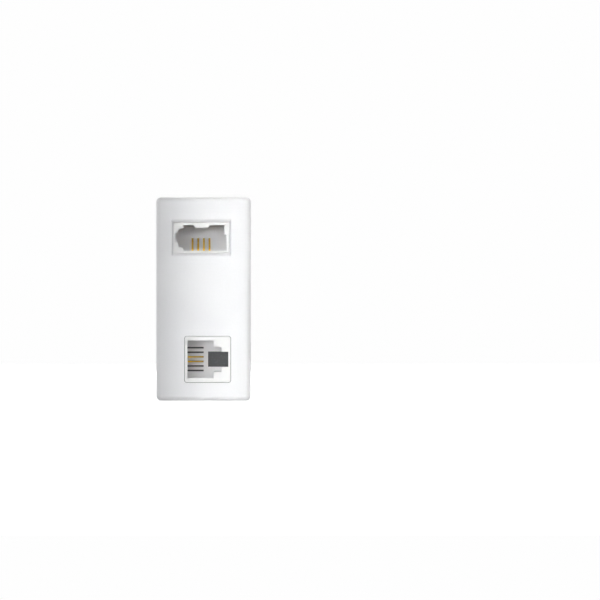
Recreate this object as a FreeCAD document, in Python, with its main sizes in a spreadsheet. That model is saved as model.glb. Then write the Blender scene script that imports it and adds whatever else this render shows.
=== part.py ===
import FreeCAD, Part
import math
import os
import re

import Sketcher
from FreeCAD import Vector

# A plug-in telephone line filter: a small moulded case with a telephone socket and a data socket in
# its front, a circuit board inside, and a telephone plug with a latch lever on its rear.
# Millimetres. X runs to the right seen from the front, Y from the front to the rear, Z up.
# The origin is the centre of the bottom end of the case, on which the filter stands.

os.makedirs("parts", exist_ok=True)
doc = FreeCAD.newDocument("line_filter")
sheet = doc.addObject("Spreadsheet::Sheet", "Sizes")

# Each driving size: its name, its value and what it is.
SIZES = [
    ("case_width", 24.7, "case, left to right"),
    ("case_height", 53.2, "case, bottom end to top end"),
    ("case_depth", 20.1, "case, front face to rear face"),
    ("cover_depth", 6.76, "front cover, from the front face to the seam"),
    ("side_wall", 1.6, "side and end walls of both shells"),
    ("face_wall", 1.8, "front wall of the cover"),
    ("rear_wall", 1.6, "rear wall of the shell"),
    ("edge_radius", 1.2, "outer edges of the case"),
    ("seam_edge", 0.18, "broken edges that make the line of the seam"),
    ("lip_height", 1.4, "tongue of the rear shell that enters the cover"),
    ("lip_wall", 0.7, "thickness of that tongue"),
    ("fit", 0.05, "clearance between pieces that slide together"),
    ("broken_edge", 0.12, "chamfer on the mouths of the sockets and their faces"),
    ("snap_height", 0.25, "snap ridge, how far it stands out"),
    ("snap_width", 0.5, "snap ridge, along the depth"),
    ("snap_length", 9.0, "snap ridge, along the wall"),
    ("snap_rise", 12.0, "lower snap ridge, its middle above the bottom"),
    ("snap_drop", 12.2, "upper snap ridge, its middle below the top"),
    ("phone_x", -0.54, "telephone socket, middle of its face"),
    ("phone_drop", 10.6, "telephone socket, its middle below the top of the case"),
    ("nose_set", 0.5, "face of the telephone socket, depth below the front face"),
    ("nose_gap", 0.1, "clearance of the sockets in the cover"),
    ("rim_left", 0.37, "face of the telephone socket, left of the ridge way"),
    ("rim_right", 0.69, "face of the telephone socket, right of the key way"),
    ("rim_top", 0.565, "face of the telephone socket, above and below the cavity"),
    ("funnel_side", 0.44, "sloping rim of the cover's opening, left and right"),
    ("funnel_end", 0.7, "sloping rim of the cover's opening, top and bottom"),
    ("funnel_depth", 0.75, "sloping rim of the cover's opening, depth"),
    ("cavity_left", 4.72, "telephone cavity, reach to the left of the middle"),
    ("cavity_right", 6.02, "telephone cavity, reach to the right above the key way"),
    ("cavity_height", 6.8, "telephone cavity, height"),
    ("cavity_back", 0.9, "telephone cavity, wall behind it"),
    ("cavity_wall", 1.3, "telephone cavity, wall on its right"),
    ("cavity_floor_wall", 1.5, "telephone cavity, walls under and over it"),
    ("key_depth", 0.59, "key way, how far it is cut into the right wall"),
    ("key_top", 0.84, "key way, its top above the middle"),
    ("latch_way", 1.4, "opening for the base of a latch, how far to the left"),
    ("latch_way_height", 4.89, "opening for the base of a latch, height"),
    ("ridge_way", 0.81, "opening for the ridge of a latch, beyond the base"),
    ("ridge_way_height", 2.42, "opening for the ridge of a latch, height"),
    ("ear", 1.2, "wall at the mouth behind which a latch catches"),
    ("recess_left", 2.5, "room behind that wall, how far to the left of the cavity"),
    ("recess_height", 5.3, "room behind that wall, height"),
    ("recess_wall", 0.8, "wall outside that room"),
    ("rib_top", 4.16, "rib on the cavity's ceiling, width at its root"),
    ("rib_foot", 3.3, "rib on the cavity's ceiling, width at its foot"),
    ("rib_depth", 0.82, "rib on the cavity's ceiling, how far it hangs down"),
    ("rib_round", 0.3, "rib on the cavity's ceiling, rounding of its foot"),
    ("rib_x", 0.03, "rib on the cavity's ceiling, right of the socket's middle"),
    ("contact_pitch", 1.48, "telephone contacts, spacing"),
    ("contact_shift", 0.76, "telephone contacts, from the cavity's middle to the latch side"),
    ("contact_width", 0.5, "telephone contacts, width of the strip"),
    ("contact_thick", 0.3, "telephone contacts, thickness of the strip"),
    ("contact_rise", 3.2, "telephone contacts, height of the tip above the floor"),
    ("contact_bend", 0.4, "telephone contacts, radius of the bends"),
    ("contact_room", 0.1, "clearance beside a contact in its slot"),
    ("contact_corner", 1.5, "telephone contacts, where their two runs would meet, behind the front"),
    ("contact_stand", 0.7, "telephone contacts, upright run in front of the board"),
    ("contact_tip", 1.6, "telephone contacts, tip in front of the upright run"),
    ("slot_depth", 0.8, "slots in the cavity's floor, depth"),
    ("slot_start", 2.6, "slots in the cavity's floor, front end behind the front face"),
    ("tail_drop", 0.9, "telephone contacts, below the board's upper edge"),
    ("tail_out", 0.7, "contact tails and leads, beyond the board"),
    ("hole_room", 0.12, "holes in the board, clearance round a tail"),
    ("rear_room", 3.9, "from the board to the rear wall"),
    ("board_thick", 1.0, "circuit board, thickness"),
    ("board_side", 0.55, "circuit board, clear of the side walls"),
    ("board_end", 0.8, "circuit board, clear of the bottom wall"),
    ("board_drop", 0.5, "circuit board, below the telephone socket"),
    ("data_x", -4.19, "data socket, left wall of its cavity"),
    ("data_z", 10.77, "data socket, height of its middle"),
    ("data_main", 6.88, "data cavity, width"),
    ("data_height", 9.9, "data cavity, height"),
    ("step_width", 2.01, "data cavity, width of the step on its right"),
    ("step_height", 6.51, "data cavity, height of the step"),
    ("catch_width", 1.8, "data cavity, width of the way for a catch"),
    ("catch_height", 4.0, "data cavity, height of the way for a catch"),
    ("data_left_wall", 0.745, "data socket, wall on the left"),
    ("data_right_wall", 0.595, "data socket, wall on the right"),
    ("data_end_wall", 1.065, "data socket, walls at top and bottom"),
    ("data_radius", 0.6, "data socket, corners of its face"),
    ("data_set", 0.12, "data socket, its face below the front face"),
    ("data_back", 1.0, "data socket, wall behind its cavity"),
    ("insert_thick", 1.2, "dark insert behind the data cavity, thickness"),
    ("window_left", 5.39, "window behind the data cavity, from its left wall"),
    ("comb_pitch", 1.2, "comb behind the data cavity, spacing of its slots"),
    ("comb_slot", 0.42, "comb behind the data cavity, width of a slot"),
    ("comb_length", 4.22, "comb behind the data cavity, length of a slot"),
    ("wire_size", 0.34, "data contacts, side of the square wire"),
    ("wire_bend", 0.45, "data contacts, radius of the front bend"),
    ("wire_corner", 0.65, "data contacts, where the two runs would meet, behind the front"),
    ("wire_tip", 0.5, "data contacts, tip in front of the insert"),
    ("peg_size", 0.9, "pegs of the data socket, diameter"),
    ("plug_play", 0.06, "the plug in a socket of the same pattern, clearance all round"),
    ("plug_reach", 22.06, "telephone plug, beyond the rear face"),
    ("plug_lead", 0.3, "chamfer at the tip of the plug"),
    ("plug_edge", 0.2, "long edges of the plug, rounding"),
    ("shoulder_reach", 6.9, "shoulder of the plug, beyond the rear face"),
    ("shoulder_drop", 0.36, "shoulder of the plug, below the nose"),
    ("shoulder_step", 0.2, "shoulder of the plug, left of its key"),
    ("flange_left", 7.2, "flange of the plug inside the case, reach to the left"),
    ("flange_thick", 1.5, "flange of the plug inside the case, thickness"),
    ("notch_depth", 3.62, "finger notch in the rear right edge, depth"),
    ("notch_wall", 1.0, "walls of the pocket that lines the notch"),
    ("foot_height", 0.8, "feet of the plug that stand on the board, clear of its leads"),
    ("slot_reach", 9.0, "contact slots of the plug, length"),
    ("slot_nose", 0.8, "contact slots of the plug, from the tip"),
    ("strip_thick", 0.4, "contacts of the plug, thickness"),
    ("strip_drop", 0.25, "contacts of the plug, below the top of the plug"),
    ("hinge_in", 0.35, "hinge of the latch, inside the plug's side"),
    ("hinge_back", 0.75, "hinge of the latch, behind the plug's tip"),
    ("root_radius", 0.7, "rounded root of the latch"),
    ("splay_angle", 5.0, "latch at rest, degrees out from the plug's side"),
    ("latch_gap", 0.1, "latch pressed flat, its distance from the plug's side"),
    ("base_thick", 1.2, "base of the latch, thickness"),
    ("catch_gap", 1.31, "base of the latch, its end behind the plug's shoulder"),
    ("neck_length", 1.96, "neck of the latch, length"),
    ("ridge_thick", 0.8, "ridge on the latch, thickness"),
    ("tab_gap", 0.74, "finger tab of the latch, clear of the notch's floor"),
    ("tab_wide", 5.52, "finger tab of the latch, height at its free end"),
    ("tab_narrow", 4.98, "finger tab of the latch, height at the neck"),
    ("tab_thick", 1.5, "finger tab of the latch, thickness"),
    ("tab_radius", 0.3, "finger tab of the latch, rounding of its free end"),
    ("row_gap", 0.3, "rows of components on the board, spacing"),
    ("choke_x", 3.75, "chokes, from the middle of the board"),
    ("core_width", 7.2, "choke cores, width"),
    ("core_height", 4.2, "choke cores, height"),
    ("core_bar", 1.3, "choke cores, thickness of the bars"),
    ("core_leg", 0.9, "choke cores, thickness of the outer legs"),
    ("core_post", 2.2, "choke cores, side of the middle leg"),
    ("core_length", 7.9, "choke cores, both halves together"),
    ("core_gap", 0.05, "choke cores, film between the halves"),
    ("core_stand", 0.2, "choke cores, clear of the board"),
    ("spool_wall", 0.5, "choke bobbins, wall"),
    ("spool_width", 5.2, "choke bobbins, width of the flanges"),
    ("spool_height", 5.8, "choke bobbins, height of the flanges"),
    ("rail_height", 0.7, "choke bobbins, rails that carry the pins"),
    ("coil_room", 0.2, "winding, below the edge of the flanges"),
    ("coil_radius", 0.8, "winding, rounding of its corners"),
    ("pin_size", 0.45, "pins and leads, side of the square wire"),
    ("part_gap", 0.1, "components, clear of the board"),
    ("cap_edge", 0.35, "box capacitors, rounding of their long edges"),
    ("cap_lead", 1.0, "box capacitors, leads from the ends"),
    ("bell_left", 7.4, "larger box capacitor, its end left of the middle"),
    ("bell_width", 8.0, "larger box capacitor, width"),
    ("bell_height", 3.8, "larger box capacitor, thickness"),
    ("bell_depth", 6.9, "larger box capacitor, how far it stands out"),
    ("film_width", 2.6, "smaller box capacitor, thickness"),
    ("film_height", 7.0, "smaller box capacitor, height"),
    ("film_depth", 6.0, "smaller box capacitor, how far it stands out"),
    ("film_rise", 1.2, "smaller box capacitor, its middle above the data socket's"),
    ("disc_size", 3.0, "disc capacitors, diameter"),
    ("disc_thick", 1.6, "disc capacitors, thickness"),
    ("disc_edge", 0.4, "disc capacitors, sloping rim"),
    ("disc_stand", 1.2, "disc capacitors, clear of the board"),
    ("disc_first", 2.4, "disc capacitors, first one from the middle"),
    ("disc_pitch", 3.4, "disc capacitors, spacing"),
    ("lead_half", 0.8, "disc capacitors, half the spacing of the leads"),
    ("chip_width", 1.25, "chip resistors, width"),
    ("chip_length", 2.0, "chip resistors, length"),
    ("chip_thick", 0.5, "chip resistors, thickness"),
    ("chip_cap", 0.4, "chip resistors, length of the end caps"),
    ("chip_pitch", 3.4, "chip resistors, spacing"),
    ("post_inset", 1.5, "posts of the rear shell, from the board's sides"),
    ("post_rise", 2.8, "posts of the rear shell, from the board's ends"),
    ("post_size", 2.6, "posts of the rear shell, diameter"),
    ("post_pin", 1.0, "pins on the posts that enter the board, diameter"),
    ("clamp_width", 1.0, "ribs of the cover that press on the board, width"),
    ("clamp_play", 0.15, "those ribs, clear of the rear shell's wall"),
    ("clamp_height", 4.0, "those ribs, height"),
    ("clamp_inset", 2.6, "those ribs, their middle from the board's ends"),
    ("socket_stand", 1.7, "telephone socket, in front of the rear wall"),
    ("back_rib", 1.2, "ribs behind the telephone socket, thickness"),
    ("back_rib_z", 2.6, "ribs behind the telephone socket, from its middle"),
]
NAMES = [name for name, size, note in SIZES]
for row, (name, size, note) in enumerate(SIZES, 1):
    sheet.set(f"A{row}", note)
    sheet.set(f"B{row}", str(size))
    sheet.setAlias(f"B{row}", name)
doc.recompute()

# Places worked out from the sizes. Each is written in their words.
PLACES = {
    "front_y": "0 - case_depth / 2",
    "rear_y": "case_depth / 2",
    "seam_y": "front_y + cover_depth",
    "face_in_y": "front_y + face_wall",
    "rear_in_y": "rear_y - rear_wall",
    "half_width": "case_width / 2",
    "inner_x": "half_width - side_wall",
    "lip_x": "inner_x + lip_wall",
    "rebate_x": "lip_x + fit",
    "inner_top": "case_height - side_wall",
    "snap_high": "case_height - snap_drop",
    "board_rear_y": "rear_in_y - rear_room",
    "board_y": "board_rear_y - board_thick",
    "tail_y": "board_rear_y + tail_out",
    "board_x": "inner_x - board_side",
    "board_low": "side_wall + board_end",
    "board_high": "phone_z - phone_half - board_drop",
    "phone_z": "case_height - phone_drop",
    "phone_half": "cavity_height / 2 + cavity_floor_wall",
    "phone_left_x": "phone_x - cavity_left - recess_left - recess_wall",
    "phone_right_x": "phone_x + cavity_right + key_depth + cavity_wall",
    "phone_rear_y": "rear_in_y - socket_stand",
    "nose_y": "front_y + nose_set",
    "nose_left_x": "phone_x - cavity_left - latch_way - ridge_way - rim_left",
    "nose_right_x": "phone_x + cavity_right + key_depth + rim_right",
    "nose_half": "cavity_height / 2 + rim_top",
    "cavity_x": "phone_x + (cavity_right - cavity_left) / 2",
    "cavity_end_y": "phone_rear_y - cavity_back",
    "cavity_floor": "phone_z - cavity_height / 2",
    "cavity_top": "phone_z + cavity_height / 2",
    "slot_width": "contact_width + 2 * contact_room",
    "first_contact_x": "cavity_x - contact_shift - 1.5 * contact_pitch",
    "run_z": "cavity_floor - contact_thick / 2 - contact_room",
    "back_y": "board_y - contact_stand",
    "tail_z": "board_high - tail_drop",
    "data_y": "front_y + data_set",
    "insert_y": "board_y - insert_thick",
    "data_end_y": "insert_y - data_back",
    "data_left_x": "data_x - data_left_wall",
    "step_x": "data_x + data_main",
    "catch_in_x": "step_x + step_width",
    "catch_x": "catch_in_x + catch_width",
    "data_right_x": "catch_x + data_right_wall",
    "data_half": "data_height / 2 + data_end_wall",
    "peg_x": "step_x + step_width / 2",
    "peg_z": "(data_height + data_end_wall) / 2",
    "wire_x": "data_x + wire_size / 2 + fit",
    "shoulder_z": "case_height / 2",
    "plug_z": "shoulder_z + shoulder_drop / 2",
    "plug_half": "(cavity_left + cavity_right) / 2 - plug_play",
    "plug_height": "cavity_height - 2 * plug_play",
    "plug_key": "key_depth - plug_play",
    "tip_y": "rear_y + plug_reach",
    "shoulder_y": "rear_y + shoulder_reach",
    "shoulder_half": "(plug_height + shoulder_drop) / 2",
    "shoulder_x": "plug_half + plug_key + shoulder_step",
    "aperture_half": "shoulder_half + fit",
    "pocket_half": "aperture_half + notch_wall",
    "pocket_y": "rear_y - notch_depth",
    "pocket_x": "inner_x - nose_gap",
    "block_y": "board_rear_y + foot_height",
    "flange_y": "rear_in_y - flange_thick",
    "plug_top": "plug_z + plug_height / 2",
    "strip_top": "plug_top - strip_drop",
    "strip_z": "strip_top - strip_thick / 2",
    "first_strip_x": "contact_shift - 1.5 * contact_pitch",
    "hinge_x": "plug_half - hinge_in",
    "hinge_y": "tip_y - hinge_back",
    "arm_in": "hinge_in + latch_gap",
    "base_height": "latch_way_height - 2 * plug_play",
    "base_length": "hinge_y - shoulder_y - catch_gap",
    "neck_height": "ridge_way_height - 2 * plug_play",
    "neck_end": "base_length + neck_length",
    "arm_end": "hinge_y - pocket_y - tab_gap",
    "caps_z": "data_z + data_half + row_gap + bell_height / 2",
    "choke_z": "caps_z + bell_height / 2 + row_gap + spool_height / 2",
    "core_back_y": "board_y - core_stand",
    "core_front_y": "core_back_y - core_length",
    "core_mid_y": "core_back_y - core_length / 2",
    "spool_back_y": "core_back_y - core_bar - part_gap",
    "spool_front_y": "core_front_y + core_bar + part_gap",
    "spool_half": "core_post / 2 + fit + spool_wall",
    "rail_z": "(spool_height - rail_height) / 2",
    "part_y": "board_y - part_gap",
    "bell_x": "bell_width / 2 - bell_left",
    "film_x": "(data_left_x - inner_x) / 2",
    "film_z": "data_z + film_rise",
    "chip_x": "(data_right_x + inner_x) / 2",
    "post_x": "board_x - post_inset",
    "post_low": "board_low + post_rise",
    "post_high": "board_high - post_rise",
    "clamp_x": "inner_x - clamp_width",
    "clamp_low": "board_low + clamp_inset",
    "clamp_high": "board_high - clamp_inset",
}

PLANES = {"front": "XZ_Plane", "top": "XY_Plane", "side": "YZ_Plane"}


def bound(text):
    """Turn words into an expression that reads the sheet."""
    def swap(found):
        word = found.group(0)
        if word in PLACES:
            return "(" + bound(PLACES[word]) + ")"
        return "Sizes." + word if word in NAMES else word
    return re.sub(r"[a-z_]+", swap, text)


def number(text):
    """The value that such words have now."""
    return float(sheet.evalExpression(bound(text)))


def piece(name):
    """A new sub-part at the model's origin."""
    body = doc.addObject("PartDesign::Body", name)
    body.Label = name
    body.Placement = FreeCAD.Placement()
    return body


def datum(body, role):
    return next(item for item in body.Origin.OriginFeatures if item.Role == role)


def sketch(body, name, plane, at):
    """An empty sketch parallel to one of the body's planes, at a place along that plane's axis."""
    drawing = body.newObject("Sketcher::SketchObject", name)
    drawing.AttachmentSupport = [(datum(body, PLANES[plane]), "")]
    drawing.MapMode = "FlatFace"
    # The front plane's own axis points to the front, against Y.
    offset = f"0 - ({at})" if plane == "front" else at
    drawing.setExpression("AttachmentOffset.Base.z", bound(offset))
    return drawing


def pin_down(drawing, geometry, end, u, v):
    """Hold one point of a sketch at a place given in words."""
    for kind, place in (("DistanceX", u), ("DistanceY", v)):
        index = drawing.addConstraint(Sketcher.Constraint(kind, -1, 1, geometry, end, number(place)))
        drawing.setExpression(f"Constraints[{index}]", bound(place))


def loop(drawing, corners):
    """A closed outline of straight lines through the corners."""
    spots = [Vector(number(u), number(v), 0) for u, v in corners]
    lines = []
    for index, spot in enumerate(spots):
        line = Part.LineSegment(spot, spots[(index + 1) % len(spots)])
        lines.append(drawing.addGeometry(line, False))
    for index, (u, v) in enumerate(corners):
        drawing.addConstraint(Sketcher.Constraint("Coincident", lines[index - 1], 2, lines[index], 1))
        pin_down(drawing, lines[index], 1, u, v)


def ring(drawing, u, v, radius):
    """A circle in a sketch."""
    circle = Part.Circle(Vector(number(u), number(v), 0), Vector(0, 0, 1), number(radius))
    index = drawing.addGeometry(circle, False)
    pin_down(drawing, index, 3, u, v)
    size = drawing.addConstraint(Sketcher.Constraint("Radius", index, number(radius)))
    drawing.setExpression(f"Constraints[{size}]", bound(radius))


def box(u_low, v_low, u_high, v_high):
    return [(u_low, v_low), (u_high, v_low), (u_high, v_high), (u_low, v_high)]


def about(u, v, width, height):
    """The corners of a rectangle about its middle."""
    across, up = f"({width}) / 2", f"({height}) / 2"
    return box(f"{u} - {across}", f"{v} - {up}", f"{u} + {across}", f"{v} + {up}")


def extrude(body, name, plane, at, length, loops=(), rings=(), cut=False):
    """Add or cut what a sketch outlines, always towards the positive axis of its plane."""
    drawing = sketch(body, name + "_outline", plane, at)
    for corners in loops:
        loop(drawing, corners)
    for spot in rings:
        ring(drawing, *spot)
    before = body.Shape.Volume if body.Tip else 0
    feature = body.newObject("PartDesign::Pocket" if cut else "PartDesign::Pad", name)
    feature.Profile = drawing
    feature.setExpression("Length", bound(length))
    feature.Reversed = (plane == "front") != cut
    doc.recompute()
    if (body.Shape.Volume < before) != cut:
        raise RuntimeError(f"{body.Label}: {name} changes the volume the wrong way")
    return feature


def repeat(body, name, feature, role, spacing, count):
    """Copies of a feature in a row along one of the body's axes."""
    row = body.newObject("PartDesign::LinearPattern", name)
    row.Originals = [feature]
    row.Direction = (datum(body, role), [""])
    row.Mode = "Spacing"
    row.setExpression("Offset", bound(spacing))
    row.Occurrences = count
    body.Tip = row
    doc.recompute()


def soften(body, name, kind, size, wanted):
    """Fillet or chamfer the edges that a test picks out."""
    base = body.Tip
    edges = [f"Edge{index}" for index, edge in enumerate(base.Shape.Edges, 1) if wanted(edge)]
    feature = body.newObject("PartDesign::" + kind, name)
    feature.Base = (base, edges)
    feature.setExpression("Radius" if kind == "Fillet" else "Size", bound(size))
    doc.recompute()


def along(edge, axis):
    """Whether an edge is straight and runs along an axis."""
    ends = [vertex.Point for vertex in edge.Vertexes]
    return len(ends) == 2 and near(abs(getattr(ends[1] - ends[0], axis)), edge.Length)


def near(first, second):
    return abs(first - second) < 1e-4


def path(body, name, plane, at, corners, radius):
    """An open line through the corners, each corner rounded by a tangent arc."""
    drawing = sketch(body, name, plane, at)
    spots = [Vector(number(u), number(v), 0) for u, v in corners]
    bend = number(radius)
    arcs = []
    breaks = [spots[0]]
    for before, spot, after in zip(spots, spots[1:], spots[2:]):
        back = (before - spot).normalize()
        on = (after - spot).normalize()
        half = math.acos(back.dot(on)) / 2
        centre = spot + (back + on).normalize() * (bend / math.sin(half))
        start = spot + back * (bend / math.tan(half))
        end = spot + on * (bend / math.tan(half))
        arcs.append((centre, start, end, back.cross(on).z < 0))
        breaks += [start, end]
    breaks.append(spots[-1])
    lines = [drawing.addGeometry(Part.LineSegment(*breaks[index:index + 2]), False)
             for index in range(0, len(breaks), 2)]
    pin_down(drawing, lines[0], 1, *corners[0])
    pin_down(drawing, lines[-1], 2, *corners[-1])
    for index, (centre, start, end, left) in enumerate(arcs):
        low, high = (start, end) if left else (end, start)
        angles = [math.atan2(spot.y - centre.y, spot.x - centre.x) for spot in (low, high)]
        if angles[1] < angles[0]:
            angles[1] += 2 * math.pi
        circle = Part.Circle(centre, Vector(0, 0, 1), bend)
        arc = drawing.addGeometry(Part.ArcOfCircle(circle, *angles), False)
        corner = drawing.addGeometry(Part.Point(spots[index + 1]), True)
        pin_down(drawing, corner, 1, *corners[index + 1])
        for line in lines[index:index + 2]:
            drawing.addConstraint(Sketcher.Constraint("PointOnObject", corner, 1, line))
        enter, leave = (1, 2) if left else (2, 1)
        drawing.addConstraint(Sketcher.Constraint("Tangent", lines[index], 2, arc, enter))
        drawing.addConstraint(Sketcher.Constraint("Tangent", arc, leave, lines[index + 1], 1))
        size = drawing.addConstraint(Sketcher.Constraint("Radius", arc, bend))
        drawing.setExpression(f"Constraints[{size}]", bound(radius))
    return drawing


def sweep(body, name, section, spine):
    pipe = body.newObject("PartDesign::AdditivePipe", name)
    pipe.Profile = section
    pipe.Spine = spine
    doc.recompute()


def round_case(body):
    """Round every outer edge of a case half, except round its seam."""
    half = number("half_width")
    top = number("case_height")
    ends = (number("front_y"), number("rear_y"))

    def outer(edge):
        middle = edge.CenterOfMass
        at_side = near(abs(middle.x), half)
        at_end = near(middle.z, 0) or near(middle.z, top)
        at_face = near(middle.y, ends[0]) or near(middle.y, ends[1])
        return at_side + at_end + at_face == 2
    soften(body, "rounded_edges", "Fillet", "edge_radius", outer)


def round_seam(body):
    """Break the outer edges at the seam, so that it shows as a fine line."""
    seam = number("seam_y")
    half = number("half_width")
    top = number("case_height")
    reach = number("edge_radius")

    def at_seam(edge):
        spots = [vertex.Point for vertex in edge.Vertexes]
        outside = all(abs(spot.x) > half - reach - 1e-4 or spot.z < reach or spot.z > top - reach
                      for spot in spots)
        middle = edge.CenterOfMass
        deep = abs(middle.x) < half - reach / 2 and reach / 2 < middle.z < top - reach / 2
        return all(near(spot.y, seam) for spot in spots) and outside and not deep
    soften(body, "seam_line", "Chamfer", "seam_edge", at_seam)


def front_cover():
    body = piece("front_cover")
    extrude(body, "block", "front", "front_y", "cover_depth",
            [box("0 - half_width", "0", "half_width", "case_height")])
    round_case(body)
    round_seam(body)
    extrude(body, "hollow", "front", "face_in_y", "cover_depth - face_wall",
            [box("0 - inner_x", "side_wall", "inner_x", "inner_top")], cut=True)
    extrude(body, "rebate", "front", "seam_y - lip_height - fit", "lip_height + fit",
            [box("0 - rebate_x", "side_wall - lip_wall - fit", "rebate_x", "inner_top + lip_wall + fit")],
            cut=True)
    throat_edge = box("nose_left_x - nose_gap", "phone_z - nose_half - nose_gap",
                      "nose_right_x + nose_gap", "phone_z + nose_half + nose_gap")
    extrude(body, "phone_aperture", "front", "front_y", "face_wall", [throat_edge], cut=True)
    mouth = sketch(body, "funnel_mouth", "front", "front_y")
    loop(mouth, box("nose_left_x - nose_gap - funnel_side", "phone_z - nose_half - nose_gap - funnel_end",
                    "nose_right_x + nose_gap + funnel_side", "phone_z + nose_half + nose_gap + funnel_end"))
    throat = sketch(body, "funnel_throat", "front", "front_y + funnel_depth")
    loop(throat, throat_edge)
    funnel = body.newObject("PartDesign::SubtractiveLoft", "funnel")
    funnel.Profile = mouth
    funnel.Sections = [throat]
    doc.recompute()
    extrude(body, "data_aperture", "front", "front_y", "face_wall",
            [box("data_left_x - nose_gap", "data_z - data_half - nose_gap", "data_right_x + nose_gap",
                 "data_z + data_half + nose_gap")], cut=True)
    sides = (number("data_left_x - nose_gap"), number("data_right_x + nose_gap"))
    ends = (number("data_z - data_half - nose_gap"), number("data_z + data_half + nose_gap"))
    soften(body, "data_corners", "Fillet", "data_radius + nose_gap",
           lambda edge: along(edge, "y") and any(near(edge.CenterOfMass.x, side) for side in sides)
           and any(near(edge.CenterOfMass.z, end) for end in ends))
    groove = "seam_y - lip_height / 2 - snap_width / 2 - fit"
    extrude(body, "snap_grooves", "front", groove, "snap_width + 2 * fit",
            [about(f"{side} * (rebate_x + snap_height / 2)", height, "snap_height", "snap_length + 2 * fit")
             for side in (-1, 1) for height in ("snap_rise", "snap_high")], cut=True)
    for name, height in (("low", "clamp_low"), ("high", "clamp_high")):
        for word, side in (("left", -1), ("right", 1)):
            inner = f"{side} * clamp_x"
            low, high = f"{height} - clamp_height / 2", f"{height} + clamp_height / 2"
            extrude(body, f"{name}_{word}_clamp_root", "front", "face_in_y",
                    "seam_y - lip_height - fit - face_in_y",
                    [box(inner, low, f"{side} * (inner_x + side_wall / 2)", high)])
            extrude(body, f"{name}_{word}_clamp", "front", "face_in_y", "board_y - face_in_y",
                    [box(inner, low, f"{side} * (inner_x - clamp_play)", high)])


def rear_shell():
    body = piece("rear_shell")
    extrude(body, "block", "front", "seam_y", "case_depth - cover_depth",
            [box("0 - half_width", "0", "half_width", "case_height")])
    round_case(body)
    round_seam(body)
    extrude(body, "hollow", "front", "seam_y", "rear_in_y - seam_y",
            [box("0 - inner_x", "side_wall", "inner_x", "inner_top")], cut=True)
    extrude(body, "lip", "front", "seam_y - lip_height", "lip_height",
            [box("0 - lip_x", "side_wall - lip_wall", "lip_x", "inner_top + lip_wall"),
             box("0 - inner_x", "side_wall", "inner_x", "inner_top")])
    ridge = "seam_y - lip_height / 2 - snap_width / 2"
    extrude(body, "snap_ridges", "front", ridge, "snap_width",
            [about(f"{side} * (lip_x + snap_height / 2)", height, "snap_height", "snap_length")
             for side in (-1, 1) for height in ("snap_rise", "snap_high")])
    extrude(body, "plug_aperture", "front", "rear_in_y", "rear_wall",
            [box("0 - shoulder_x - fit", "shoulder_z - aperture_half", "plug_half + fit",
                 "shoulder_z + aperture_half")], cut=True)
    extrude(body, "finger_notch", "front", "pocket_y", "notch_depth",
            [box("plug_half", "shoulder_z - aperture_half", "half_width", "shoulder_z + aperture_half")],
            cut=True)
    extrude(body, "board_posts", "front", "board_rear_y", "rear_in_y - board_rear_y",
            rings=[(x, z, "post_size / 2") for x, z in POSTS])
    extrude(body, "board_pins", "front", "board_y", "board_thick",
            rings=[(x, z, "post_pin / 2") for x, z in POSTS])
    extrude(body, "socket_ribs", "front", "phone_rear_y", "socket_stand",
            [box("phone_x - cavity_left", f"phone_z + {side} * back_rib_z - back_rib / 2",
                 "phone_x + cavity_right", f"phone_z + {side} * back_rib_z + back_rib / 2")
             for side in (-1, 1)])


def cavity_walls():
    """The telephone cavity behind the mouth: key way on the right, rib on the ceiling."""
    left, right = "phone_x - cavity_left", "phone_x + cavity_right"
    rib = "phone_x + rib_x"
    return [(left, "cavity_floor"), (f"{right} + key_depth", "cavity_floor"),
            (f"{right} + key_depth", "phone_z + key_top"), (right, "phone_z + key_top"),
            (right, "cavity_top"), (f"{rib} + rib_top / 2", "cavity_top"),
            (f"{rib} + rib_foot / 2", "cavity_top - rib_depth"),
            (f"{rib} - rib_foot / 2", "cavity_top - rib_depth"),
            (f"{rib} - rib_top / 2", "cavity_top"), (left, "cavity_top")]


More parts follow.
